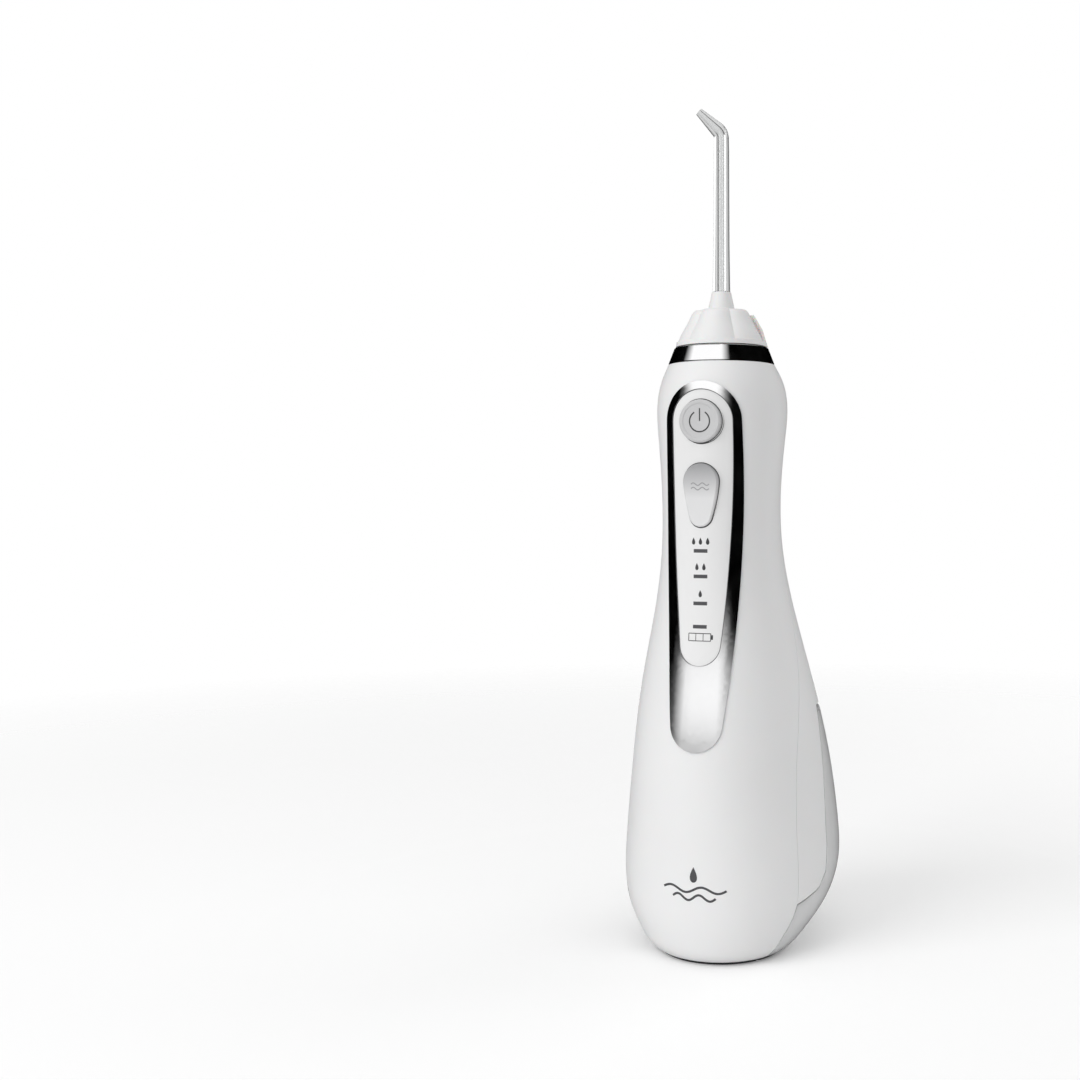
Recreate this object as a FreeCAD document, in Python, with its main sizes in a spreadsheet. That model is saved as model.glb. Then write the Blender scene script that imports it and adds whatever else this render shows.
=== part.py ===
"""Cordless water flosser, built as separate sub-parts around the upright axis of its neck."""
import FreeCAD, Part
import math
import os
import Sketcher

V = FreeCAD.Vector
DOC = FreeCAD.newDocument("water_flosser")
SHEET = DOC.addObject("Spreadsheet::Sheet", "Dims")
NODES = []


# ---------------------------------------------------------------- sizes

class Dim:
    """A size that knows both its number and the spreadsheet formula behind it."""

    def __init__(self, value, text):
        self.value = float(value)
        self.text = text

    def __add__(self, other):
        other = as_dim(other)
        return Dim(self.value + other.value, "(%s + %s)" % (self.text, other.text))

    def __sub__(self, other):
        other = as_dim(other)
        return Dim(self.value - other.value, "(%s - %s)" % (self.text, other.text))

    def __mul__(self, other):
        other = as_dim(other)
        return Dim(self.value * other.value, "(%s * %s)" % (self.text, other.text))

    def __truediv__(self, other):
        other = as_dim(other)
        return Dim(self.value / other.value, "(%s / %s)" % (self.text, other.text))

    def __neg__(self):
        return Dim(-self.value, "(0 - %s)" % self.text)


def as_dim(number):
    """Turn a plain number into a size, and leave a size as it is."""
    if isinstance(number, Dim):
        return number
    return Dim(number, "(%.6f)" % number)


def size(name, value):
    """Write one named size into the spreadsheet."""
    row = size.row = getattr(size, "row", 0) + 1
    SHEET.set("A%d" % row, name)
    SHEET.set("B%d" % row, repr(float(value)))
    SHEET.setAlias("B%d" % row, name)
    return Dim(value, "Dims." + name)


def bind(obj, prop, dim):
    """Set a property and tie it to the spreadsheet."""
    dim = as_dim(dim)
    setattr(obj, prop, dim.value)
    if "Dims." in dim.text:
        obj.setExpression(prop, dim.text)


def place(obj, x=0, y=0, z=0, turn=None):
    """Put an object at x, y, z and tie each coordinate that comes from the spreadsheet."""
    dims = [as_dim(n) for n in (x, y, z)]
    obj.Placement = FreeCAD.Placement(V(*[d.value for d in dims]), turn or FreeCAD.Rotation())
    for letter, dim in zip("xyz", dims):
        if "Dims." in dim.text:
            obj.setExpression("Placement.Base." + letter, dim.text)
    return obj


TO_X = FreeCAD.Rotation(V(0, 1, 0), 90)
TO_Y = FreeCAD.Rotation(V(1, 0, 0), -90)
SIDE = FreeCAD.Rotation(V(1, 1, 1), 120)
FRONT = FreeCAD.Rotation(V(1, 0, 0), 90)

axis_y = size("axis_y", -14.45)
wall = size("shell_wall", 2.2)
seam_gap = size("seam_gap", 0.2)
tank_gap = size("tank_gap", 0.4)
tank_wall = size("tank_wall", 1.8)
recess = size("recess_depth", 1.0)
trim_rise = size("trim_rise", 0.5)
panel_rise = size("panel_rise", 0.15)
foot_height = size("foot_height", 1.2)
shell_top = size("shell_top", 204.0)

# height, half width, front reach, back reach of the casing about the neck axis
STATIONS = [
    (1.2, 22.9, 23.4, 23.2), (3, 25.5, 25.5, 26.0), (8, 29.7, 27.9, 33.5), (16, 34.8, 29.7, 45.0),
    (28, 37.8, 30.2, 57.0), (42, 37.2, 30.3, 59.0), (60, 35.2, 30.1, 56.5), (80, 32.3, 28.8, 48.5),
    (100, 28.5, 25.2, 37.5), (120, 24.0, 23.2, 30.5), (140, 21.0, 22.8, 25.2), (160, 20.8, 22.5, 22.9),
    (178, 22.2, 22.9, 24.2), (190, 22.8, 23.1, 25.6), (197, 21.7, 22.0, 24.4), (201, 20.2, 20.4, 21.8),
    (204, 18.8, 18.8, 18.8),
]
STATION_SIZES = [
    tuple(size("station_%s_%s" % (what, "abcdefghijklmnopq"[i]), row[k])
          for k, what in enumerate(("height", "width", "front", "back")))
    for i, row in enumerate(STATIONS)
]

SEAM = [
    (-13.2, 8), (-12.5, 14), (-11.6, 20), (-11.2, 45), (-9.8, 60), (-8.6, 68), (-5.8, 80),
    (-2.4, 92), (0.8, 104), (3.0, 115), (4.0, 126),
]
SKIRT = [(11.0, 82), (8.0, 60), (5.6, 45), (5.0, 36), (3.6, 28.2), (-0.5, 23.6), (-2.5, 22.7)]


# ---------------------------------------------------------------- building blocks

def add(kind, name):
    return DOC.addObject(kind, name)


def box(name, x, y, z):
    """A block from pairs of low and high coordinates."""
    obj = add("Part::Box", name)
    for prop, (low, high) in zip(("Length", "Width", "Height"), (x, y, z)):
        bind(obj, prop, as_dim(high) - low)
    return place(obj, x[0], y[0], z[0])


def rod(name, radius, length, x=0, y=0, z=0, turn=None):
    """A cylinder whose base centre is at x, y, z."""
    obj = add("Part::Cylinder", name)
    bind(obj, "Radius", radius)
    bind(obj, "Height", length)
    return place(obj, x, y, z, turn)


def cone(name, low, high, length, x=0, y=0, z=0, turn=None):
    obj = add("Part::Cone", name)
    bind(obj, "Radius1", low)
    bind(obj, "Radius2", high)
    bind(obj, "Height", length)
    return place(obj, x, y, z, turn)


def torus(name, big, small, x=0, y=0, z=0, turn=None, sweep=360):
    obj = add("Part::Torus", name)
    bind(obj, "Radius1", big)
    bind(obj, "Radius2", small)
    obj.Angle3 = sweep
    return place(obj, x, y, z, turn)


def joined(kind, name, shapes):
    """A boolean of several shapes that keeps every edge the shapes bring with them."""
    obj = add(kind, name)
    obj.Shapes = list(shapes)
    obj.Refine = False
    return obj


def fuse(name, *parts):
    return joined("Part::MultiFuse", name, parts)


def common(name, *parts):
    return joined("Part::MultiCommon", name, parts)


def cut(name, base, *tools):
    obj = add("Part::Cut", name)
    obj.Base = base
    obj.Tool = tools[0] if len(tools) == 1 else fuse(name + "_tools", *tools)
    obj.Refine = False
    return obj


def fix_point(sketch, geo, pos, across, up):
    """Hold one sketch point at a spreadsheet size in both directions."""
    for kind, dim, axis in (("DistanceX", across, -2), ("DistanceY", up, -1)):
        if abs(dim.value) < 1e-9:
            sketch.addConstraint(Sketcher.Constraint("PointOnObject", geo, pos, axis))
            continue
        index = sketch.addConstraint(Sketcher.Constraint(kind, -1, 1, geo, pos, dim.value))
        if "Dims." in dim.text:
            sketch.setExpression("Constraints[%d]" % index, dim.text)


def trace(sketch, points):
    """Draw a closed outline of straight lines and hold every corner."""
    corners = [(as_dim(a), as_dim(b)) for a, b in points]
    count = len(corners)
    for i, (a, b) in enumerate(corners):
        after = corners[(i + 1) % count]
        line = Part.LineSegment(V(a.value, b.value, 0), V(after[0].value, after[1].value, 0))
        sketch.addGeometry(line, False)
    for i in range(count):
        sketch.addConstraint(Sketcher.Constraint("Coincident", i, 2, (i + 1) % count, 1))
    for i, (a, b) in enumerate(corners):
        fix_point(sketch, i, 1, a, b)
    return sketch


def set_radius(sketch, geo, dim):
    index = sketch.addConstraint(Sketcher.Constraint("Radius", geo, dim.value))
    if "Dims." in dim.text:
        sketch.setExpression("Constraints[%d]" % index, dim.text)


def egg(sketch, top_z, top_r, low_z, low_r, side_r):
    """Four tangent arcs: a round top, a round bottom and two long bowed sides."""
    top_z, top_r, low_z, low_r, side_r = [as_dim(n) for n in (top_z, top_r, low_z, low_r, side_r)]
    gap = top_z.value - low_z.value
    to_top = side_r.value - top_r.value
    to_low = side_r.value - low_r.value
    rise = (to_low ** 2 - to_top ** 2 + gap ** 2) / (2 * gap)
    reach = math.sqrt(to_low ** 2 - rise ** 2)
    upper = math.atan2(gap - rise, reach)
    lower = math.atan2(-rise, reach)
    middle = low_z.value + rise
    spans = (
        (-reach, middle, side_r, lower, upper),
        (0, top_z.value, top_r, upper, math.pi - upper),
        (reach, middle, side_r, math.pi - upper, math.pi - lower),
        (0, low_z.value, low_r, math.pi - lower, 2 * math.pi + lower),
    )
    for x, z, radius, start, end in spans:
        circle = Part.Circle(V(x, z, 0), V(0, 0, 1), radius.value)
        sketch.addGeometry(Part.ArcOfCircle(circle, start, end), False)
    for i in range(4):
        sketch.addConstraint(Sketcher.Constraint("Tangent", i, 2, (i + 1) % 4, 1))
    fix_point(sketch, 1, 3, as_dim(0), top_z)
    fix_point(sketch, 3, 3, as_dim(0), low_z)
    set_radius(sketch, 0, side_r)
    set_radius(sketch, 1, top_r)
    set_radius(sketch, 3, low_r)
    sketch.addConstraint(Sketcher.Constraint("Equal", 0, 2))
    return sketch


def side_block(name, points, half_width=50):
    """Extrude an outline drawn in the Y-Z plane across the whole width."""
    sketch = trace(add("Sketcher::SketchObject", name + "_outline"), points)
    place(sketch, -half_width, 0, 0, SIDE)
    return extrude(name, sketch, V(1, 0, 0), 2 * half_width)


def front_block(name, y_from, depth, *outline):
    """Extrude an egg outline drawn in the X-Z plane backwards."""
    sketch = egg(add("Sketcher::SketchObject", name + "_outline"), *outline)
    place(sketch, 0, y_from, 0, FRONT)
    return extrude(name, sketch, V(0, 1, 0), depth)


def extrude(name, sketch, direction, length):
    obj = add("Part::Extrusion", name)
    obj.Base = sketch
    obj.DirMode = "Custom"
    obj.Dir = direction
    obj.Solid = True
    bind(obj, "LengthFwd", length)
    return obj


def body_sketch(body, name, plane):
    sketch = body.newObject("Sketcher::SketchObject", name)
    for feature in body.Origin.OriginFeatures:
        if feature.Role == plane:
            sketch.AttachmentSupport = [(feature, "")]
    sketch.MapMode = "FlatFace"
    return sketch


def turned(name, points, angle=360):
    """A body turned about the upright axis from an outline of radius and height."""
    body = add("PartDesign::Body", name)
    sketch = trace(body_sketch(body, name + "_outline", "XZ_Plane"), points)
    spin = body.newObject("PartDesign::Revolution", name + "_turned")
    spin.Profile = sketch
    spin.ReferenceAxis = (sketch, ["V_Axis"])
    spin.Angle = angle
    spin.Midplane = angle < 360
    body.Tip = spin
    return body


def skin(name, offset, bottom=None):
    """The casing surface moved inwards by offset, lofted through an ellipse at each station."""
    rings = []
    for i, (height, width, front, back) in enumerate(STATION_SIZES):
        ring = add("Part::Ellipse", "%s_ring_%d" % (name, i))
        bind(ring, "MajorRadius", (front + back) / 2 - offset)
        bind(ring, "MinorRadius", width - offset)
        level = bottom if bottom is not None and i == 0 else height
        place(ring, 0, (back - front) / 2, level, FreeCAD.Rotation(V(0, 0, 1), 90))
        rings.append(ring)
    loft = add("Part::Loft", name)
    loft.Sections = rings
    loft.Solid = True
    loft.Ruled = False
    return loft


def tube_path(name, points):
    """A smooth centre line through points for a hose or a wire."""
    curve = Part.BSplineCurve()
    curve.interpolate([V(*p) for p in points])
    path = add("Part::Feature", name)
    path.Shape = Part.Wire([curve.toShape()])
    return path


def swept(name, path, start, heading, radius):
    """Sweep a round section along a centre line."""
    section = add("Part::Circle", name + "_section")
    bind(section, "Radius", radius)
    place(section, *start, turn=FreeCAD.Rotation(V(0, 0, 1), V(*heading)))
    sweep = add("Part::Sweep", name)
    sweep.Sections = [section]
    sweep.Spine = (path, ["Edge1"])
    sweep.Solid = True
    sweep.Frenet = False
    return sweep


def finish(node, obj):
    """Name a finished sub-part and move it from the neck axis into the row frame."""
    obj.Label = node
    base = obj.Placement.Base
    obj.Placement.Base = V(base.x, base.y + axis_y.value, base.z)
    held = [text for prop, text in obj.ExpressionEngine if prop.lstrip(".") == "Placement.Base.y"]
    local = held[0] if held else "%.6f" % base.y
    obj.setExpression("Placement.Base.y", "%s + %s" % (local, axis_y.text))
    NODES.append((node, obj))
    return obj


# ---------------------------------------------------------------- shared volumes

OUTER = skin("outer_skin", 0)
INNER = skin("inner_skin", wall, foot_height + wall)
SEAT = skin("seat_skin", recess)
TRIM_SKIN = skin("trim_skin", -trim_rise)
PANEL_SKIN = skin("panel_skin", -panel_rise)
HOLLOW = cut("casing_hollow", OUTER, INNER)

trim_top = size("trim_top_centre", 183.5)
trim_top_r = size("trim_top_radius", 13.5)
trim_low = size("trim_low_centre", 81.8)
trim_low_r = size("trim_low_radius", 9.2)
trim_side_r = size("trim_side_radius", 760.0)
panel_top = size("panel_top_centre", 183.4)
panel_top_r = size("panel_top_radius", 10.9)
panel_low = size("panel_low_centre", 108.0)
panel_low_r = size("panel_low_radius", 7.4)
panel_side_r = size("panel_side_radius", 700.0)
window_lip = size("window_lip", 1.5)

power_z = size("power_height", 183.3)
power_r = size("power_radius", 7.3)
mode_top = size("mode_top_centre", 162.9)
mode_top_r = size("mode_top_radius", 6.2)
mode_low = size("mode_low_centre", 151.6)
mode_low_r = size("mode_low_radius", 4.0)
mode_side_r = size("mode_side_radius", 60.0)
button_gap = size("button_gap", 0.3)
mode_front = size("mode_front", -23.45)
mode_bevel = size("mode_bevel", 0.45)
led_half = size("led_half_width", 2.45)
led_half_z = size("led_half_height", 0.62)
led_heights = [size("led_height_%s" % "abcd"[i], z) for i, z in enumerate((139.5, 130.9, 121.8, 114.0))]

def front_region():
    outline = [(-60, -1), (-13.4, -1)] + SEAM + [(4.0, 206), (-60, 206)]
    return side_block("front_region", outline)


def rear_region():
    seam = [(as_dim(y) + seam_gap, z) for y, z in SEAM[2:]]
    outline = seam + [(seam_gap + 4.0, 206), (80, 206), (80, 84.2), (11.3, 84.2)] + SKIRT
    return side_block("rear_region", outline)


def trim_outline(name, y_from=-60, depth=60):
    return front_block(name, y_from, depth, trim_top, trim_top_r, trim_low, trim_low_r, trim_side_r)


def panel_outline(name, grow=0):
    return front_block(name, -60, 60, panel_top, panel_top_r + grow, panel_low,
                       panel_low_r + grow, panel_side_r)


TRIM_BLOCK = trim_outline("trim_block")
PANEL_BLOCK = panel_outline("panel_block")
TRIM_SEAT = cut("trim_seat", TRIM_BLOCK, SEAT)


def mode_hole(name, grow, y_from=-60, depth=50):
    return front_block(name, y_from, depth, mode_top, mode_top_r + grow, mode_low,
                       mode_low_r + grow, mode_side_r)


# ---------------------------------------------------------------- casing

screw_spots = [(-26.0, 30.0), (26.0, 30.0), (-25.0, 79.0), (25.0, 79.0)]
screw_r = size("screw_radius", 1.2)
screw_head_r = size("screw_head_radius", 2.1)
screw_sink = size("screw_head_sink", 1.0)
frame_front = size("frame_front", 1.4)
frame_back = size("frame_back", 3.2)
frame_floor = size("frame_floor", 24.0)
frame_shelf = size("frame_shelf", 84.4)


def front_shell():
    """Front half of the casing with its trim recess, control window and screw posts."""
    half = common("front_half", HOLLOW, front_region())
    window = panel_outline("window_block", -window_lip)
    posts = []
    for i, (x, z) in enumerate(screw_spots):
        post = rod("post_%d" % i, 2.6, frame_front + 24, x, -24, z, TO_Y)
        posts.append(common("post_in_shell_%d" % i, post, OUTER))
    bores = [rod("post_bore_%d" % i, screw_r, 12, x, frame_front - 12, z, TO_Y)
             for i, (x, z) in enumerate(screw_spots)]
    whole = fuse("front_with_posts", half, *posts)
    return finish("front_shell", cut("front_shell_body", whole, TRIM_SEAT, window, *bores))


def rear_shell():
    """Back of the casing: spine, neck back and the two side skirts."""
    half = common("rear_half", HOLLOW, rear_region())
    socket = rod("port_socket", port_r, 12, 0, 18, port_z, TO_Y)
    return finish("rear_shell", cut("rear_shell_body", half, socket))


def inner_frame():
    """Wall, floor and shelf that close the dry space off from the reservoir."""
    outline = [
        (-15.2, 0), (-13.7, 0), (-13.7, frame_floor), (frame_back, frame_floor),
        (frame_back, frame_shelf), (70, frame_shelf), (70, frame_shelf + 2),
        (frame_front, frame_shelf + 2), (frame_front, frame_floor + 2), (-40, frame_floor + 2),
        (-40, frame_floor), (-15.2, frame_floor),
    ]
    plate = common("frame_plate", side_block("frame_region", outline), INNER)
    holes = [rod("frame_hole_%d" % i, screw_r, 4, x, 0, z, TO_Y)
             for i, (x, z) in enumerate(screw_spots)]
    holes += [rod("frame_sink_%d" % i, screw_head_r + 0.15, 2, x, frame_back - screw_sink, z, TO_Y)
              for i, (x, z) in enumerate(screw_spots)]
    holes.append(rod("frame_spigot_hole", spigot_r, 4, inlet_x, 0, pump_z, TO_Y))
    return finish("inner_frame", cut("inner_frame_body", plate, *holes))


def shell_screws():
    """Four screws driven forwards from the reservoir bay, their heads sunk into the frame."""
    parts = []
    for i, (x, z) in enumerate(screw_spots):
        seat = frame_back - screw_sink
        parts.append(rod("screw_shank_%d" % i, screw_r, seat + 9, x, -9, z, TO_Y))
        head = rod("screw_head_%d" % i, screw_head_r, 0.9, x, seat, z, TO_Y)
        slot = box("screw_slot_%d" % i, (x - 1.4, x + 1.4), (seat + 0.5, seat + 1.2),
                   (z - 0.25, z + 0.25))
        parts.append(cut("screw_top_%d" % i, head, slot))
    return finish("shell_screws", fuse("shell_screws_body", *parts))


def front_trim():
    """Chrome teardrop around the controls, solid below them."""
    slab = common("trim_slab", TRIM_BLOCK, TRIM_SKIN)
    return finish("front_trim", cut("front_trim_body", slab, SEAT, PANEL_BLOCK))


def control_panel():
    """Inlay that carries the buttons and the level lights."""
    slab = common("panel_slab", PANEL_BLOCK, PANEL_SKIN)
    power_hole = rod("power_hole", power_r + button_gap, 40, 0, -50, power_z, TO_Y)
    slots = [led_block("led_slot_%d" % i, z) for i, z in enumerate(led_heights)]
    tools = [SEAT, power_hole, mode_hole("mode_opening", button_gap)] + slots
    return finish("control_panel", cut("control_panel_body", slab, *tools))


def led_block(name, z):
    return box(name, (-led_half, led_half), (-30, -18.2), (z - led_half_z, z + led_half_z))


def led_windows():
    """Four light bars set flush with the panel."""
    bars = fuse("led_bars", *[led_block("led_bar_%d" % i, z) for i, z in enumerate(led_heights)])
    return finish("led_windows", common("led_windows_body", bars, PANEL_SKIN))


def feet():
    """Soft pads under the nose and under the reservoir."""
    rings = []
    for i, (level, shrink) in enumerate(((as_dim(0), 1.6), (foot_height, 0.7))):
        ring = add("Part::Ellipse", "foot_ring_%d" % i)
        bind(ring, "MajorRadius", 23.3 - shrink)
        bind(ring, "MinorRadius", 22.9 - shrink)
        place(ring, 0, -0.1, level, FreeCAD.Rotation(V(0, 0, 1), 90))
        rings.append(ring)
    pad = add("Part::Loft", "foot_pad")
    pad.Sections = rings
    pad.Solid = True
    nose = box("nose_side", (-40, 40), (-40, -13.6), (-1, 3))
    tail = box("tail_side", (-40, 40), (-12.4, 40), (-1, 3))
    finish("nose_foot", common("nose_foot_body", pad, nose))
    finish("reservoir_foot", common("reservoir_foot_body", pad, tail))


# ---------------------------------------------------------------- reservoir

door_low = size("door_low", 53.4)
door_high = size("door_high", 67.9)
door_half = size("door_half_width", 9.1)
hinge_y = size("hinge_y", 57.85)
hinge_z = size("hinge_z", 53.0)
hinge_r = size("hinge_radius", 1.3)
hinge_pin_r = size("hinge_pin_radius", 0.6)
inlet_x = size("inlet_x", 19.5)
pump_z = size("pump_height", 34.0)
spigot_r = size("spigot_radius", 2.5)
tank_port_r = size("tank_port_radius", 3.05)


def tank_outline(inset, corner=None):
    """Side outline of the reservoir, drawn inwards by inset for its inside.

    The inner wall steps round the frame unless corner gives its own points there.
    """
    shift = tank_gap + inset
    front = [(as_dim(-13.3) + shift, -1), (as_dim(-13.2) + shift, 8), (as_dim(-12.5) + shift, 14)]
    toe = [(as_dim(-11.6) + shift, as_dim(19.4) - inset), (-2.5, as_dim(22.2) - inset)]
    step = [
        (-0.6, as_dim(23.0) - inset), (frame_back + shift, as_dim(23.2) - inset),
        (frame_back + shift, 27.4),
    ]
    rear = [
        (as_dim(5.0) + shift, 36), (as_dim(5.6) + shift, 45), (as_dim(8.0) + shift, 60),
        (as_dim(10.9) + shift, as_dim(81.6) - inset),
    ]
    return front + toe + (corner or step) + rear + [(80, as_dim(83.8) - inset), (80, -1)]


def reservoir_tank():
    """Clear tank that forms the lower back and slides off backwards."""
    region = side_block("tank_region", tank_outline(0))
    skin_region = side_block("tank_skin_region", tank_outline(0, [(-0.3, 23.1), (4.0, 27.7)]))
    opening = box("door_opening", (-door_half - 0.4, door_half + 0.4), (30, 70),
                  (door_low - 0.4, door_high + 1.1))
    spaces = [rod("knuckle_space_%d" % i, hinge_r + 0.3, 4.6, x, hinge_y, hinge_z, TO_X)
              for i, x in enumerate((-7.1, 2.5))]
    skin_part = cut("tank_skin_part", common("tank_skin", HOLLOW, skin_region), opening)
    skin_part = cut("tank_skin_hinged", skin_part, *spaces)
    wall_region = cut("tank_wall_region", region, TANK_INSIDE_REGION)
    port = rod("tank_port_hole", tank_port_r, 12, inlet_x, 0, pump_z, TO_Y)
    wall_part = cut("tank_wall_part", common("tank_walls", INNER, wall_region), port)
    whole = fuse("tank_joined", skin_part, wall_part)
    for i, x in enumerate((-8.8, 7.1)):
        lug = rod("hinge_lug_%d" % i, hinge_r, 1.7, x, hinge_y, hinge_z, TO_X)
        whole = fuse("tank_with_lug_%d" % i, whole, lug)
    pin_bore = rod("lug_bore", hinge_pin_r, 20, -10, hinge_y, hinge_z, TO_X)
    return finish("reservoir_tank", cut("reservoir_tank_body", whole, pin_bore))


def intake_straw():
    """Port sleeve and dip tube inside the reservoir."""
    sleeve = rod("port_sleeve", 4.6, 16, inlet_x, 0, pump_z, TO_Y)
    drop = rod("straw_outer", 2.2, pump_z - 6, inlet_x, 13.2, 6)
    whole = common("straw_inside", fuse("straw_whole", sleeve, drop), TANK_INSIDE)
    bore = rod("port_bore", tank_port_r, 14, inlet_x, 0, pump_z, TO_Y)
    drop_bore = rod("straw_bore", 1.3, pump_z - 5, inlet_x, 13.2, 5)
    return finish("intake_straw", cut("intake_straw_body", whole, bore, drop_bore))


def fill_door():
    """Hinged flap over the filling opening."""
    slab = box("door_slab", (-door_half, door_half), (30, 70), (door_low, door_high))
    flap = common("door_flap", HOLLOW, slab)
    knuckles = [rod("door_knuckle_%d" % i, hinge_r, 4, x, hinge_y, hinge_z, TO_X)
                for i, x in enumerate((-6.8, 2.8))]
    spaces = [rod("lug_space_%d" % i, hinge_r + 0.3, 2.2, x, hinge_y, hinge_z, TO_X)
              for i, x in enumerate((-9.2, 7.0))]
    whole = cut("door_cleared", fuse("door_whole", flap, *knuckles), *spaces)
    bore = rod("door_bore", hinge_pin_r + 0.05, 20, -10, hinge_y, hinge_z, TO_X)
    return finish("fill_door", cut("fill_door_body", whole, bore))


def door_parts():
    """Hinge pins and the soft seal on the inside of the flap."""
    pins = [rod("hinge_pin_%d" % i, hinge_pin_r, 6, x, hinge_y, hinge_z, TO_X)
            for i, x in enumerate((-8.8, 2.8))]
    finish("door_hinge_pins", fuse("door_hinge_pins_body", *pins))
    block = box("seal_outer", (-8.2, 8.2), (30, 70), (door_low + 1.2, door_high - 1.0))
    gap = box("seal_inner", (-6.4, 6.4), (30, 70), (door_low + 3.0, door_high - 2.8))
    inside = skin("seal_skin", wall + 0.6)
    ring = common("seal_ring", cut("seal_frame", block, gap), INNER)
    finish("door_seal", cut("door_seal_body", ring, inside))


TANK_INSIDE_REGION = side_block("tank_inside_region", tank_outline(tank_wall))
TANK_INSIDE = common("tank_inside", INNER, TANK_INSIDE_REGION)


# ---------------------------------------------------------------- head

ring_top = size("ring_top", 210.0)
ring_top_r = size("ring_top_radius", 16.3)
seat_r = size("seat_radius", 4.4)
seat_top = size("seat_top", 216.0)
seat_bore = size("seat_bore_radius", 2.52)
collar_low = size("collar_low", 210.4)
collar_top = size("collar_top", 229.8)
stem_r = size("stem_radius", 2.42)
tip_bore = size("tip_bore_radius", 1.1)
tip_bend = size("tip_bend_height", 284.3)
tip_r = size("tip_radius", 2.6)
bend_r = size("bend_radius", 4.0)
bend_angle = 46.0
facing = 18.0


def top_ring():
    """Conical chrome ring on the shoulders, notched behind for the release arm."""
    ring = turned("ring_turned", [
        (14.5, shell_top), (18.5, shell_top), (18.65, shell_top + 0.5), (ring_top_r + 0.35, ring_top - 0.3),
        (ring_top_r, ring_top), (seat_r + 0.8, ring_top), (seat_r + 0.8, ring_top - 1.6),
        (14.5, ring_top - 1.6),
    ])
    notch = box("ring_notch", (-6.3, 6.3), (8, 24), (shell_top + 0.4, shell_top + 3.8))
    return finish("top_ring", cut("top_ring_body", ring, notch))


def head_seat():
    """Socket that takes the jet tip and carries the water to it."""
    seat = turned("seat_turned", [
        (1.2, 186), (2.1, 186), (2.4, 187), (2.1, 188.2), (2.1, 192), (6.4, 192), (6.4, shell_top - 2.4),
        (16.4, shell_top - 2.4), (16.4, shell_top), (seat_r, shell_top), (seat_r, seat_top),
        (seat_bore, seat_top), (seat_bore, 197), (1.2, 195.4),
    ])
    return finish("head_seat", seat)


# radius, reach from the axis and height of the circles that each lobe passes through
LOBE = [
    (11.5, 4.3, 211.3), (10.0, 4.6, 214.0), (8.2, 4.8, 217.0), (6.8, 4.6, 220.0), (5.8, 4.2, 222.6),
    (5.2, 4.1, 223.2),
]


def rotation_collar():
    """Dial with five lobes around a cone; the jet tip turns with it."""
    lobes = []
    for i in range(5):
        lobe = add("Part::Loft", "lobe_%d" % i)
        rings = []
        for k, (radius, reach, level) in enumerate(LOBE):
            angle = math.radians(72 * i + facing - 107)
            ring = rod_ring("lobe_ring_%d_%d" % (i, k), radius, reach * math.cos(angle),
                            reach * math.sin(angle), level)
            rings.append(ring)
        lobe.Sections = rings
        lobe.Solid = True
        lobes.append(lobe)
    base = cone("collar_base", 16.1, 15.9, 1.6, z=collar_low)
    hub = rod("collar_hub", 6.5, 10.5, z=211.2)
    neck = cone("collar_neck", 5.25, 3.4, collar_top - 221.2, z=221.2)
    whole = fuse("collar_whole", base, hub, neck, *lobes)
    seat_space = rod("collar_seat_space", seat_r + 0.35, seat_top + 0.5 - collar_low + 1, z=collar_low - 1)
    stem_space = rod("collar_stem_space", 2.5, 30, z=210)
    return finish("rotation_collar", cut("rotation_collar_body", whole, seat_space, stem_space))


def rod_ring(name, radius, x, y, z):
    ring = add("Part::Circle", name)
    bind(ring, "Radius", radius)
    return place(ring, x, y, z)


def bent_tube(name, radius, end_radius, low):
    """Straight tube, bend and tapering nozzle of one radius."""
    straight = rod(name + "_straight", radius, tip_bend - low, z=low)
    bend = torus(name + "_bend", bend_r, radius, -bend_r, 0, tip_bend,
                 FreeCAD.Rotation(V(1, 0, 0), 90), bend_angle)
    lean = math.radians(bend_angle)
    start = V(-bend_r.value * (1 - math.cos(lean)), 0, tip_bend.value + bend_r.value * math.sin(lean))
    nozzle = cone(name + "_nozzle", radius, end_radius, 9.3, start.x, 0, start.z,
                  FreeCAD.Rotation(V(0, 1, 0), -bend_angle))
    return [straight, bend, nozzle]


def jet_tip():
    """Clear tip: stem, tapered tube, bend and angled nozzle with a bore right through."""
    tube = turned("tip_turned", [
        (0, 197.6), (stem_r - 0.4, 197.6), (stem_r, 198.2), (stem_r, 200.4), (1.7, 200.4), (1.7, 201.6),
        (stem_r, 201.6), (stem_r, 204.4), (1.7, 204.4), (1.7, 205.6), (stem_r, 205.6),
        (stem_r, collar_top + 0.2), (3.1, collar_top + 0.2), (3.05, 232), (2.85, 245),
        (2.7, 280), (tip_r, tip_bend), (0, tip_bend),
    ])
    outer = bent_tube("tip_outer", tip_r, as_dim(1.38), tip_bend - 2)
    inner = bent_tube("tip_inner", tip_bore, as_dim(0.6), as_dim(190))
    whole = fuse("tip_whole", tube, *outer)
    tip = cut("jet_tip_body", whole, *inner)
    tip.Placement.Rotation = FreeCAD.Rotation(V(0, 0, 1), facing)
    return finish("jet_tip", tip)


def tip_seals():
    """Two soft rings in the grooves of the tip's stem."""
    rings = [torus("tip_seal_%d" % i, 2.08, 0.38, z=level) for i, level in enumerate((201.0, 205.0))]
    return finish("tip_seals", fuse("tip_seals_body", *rings))


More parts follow.
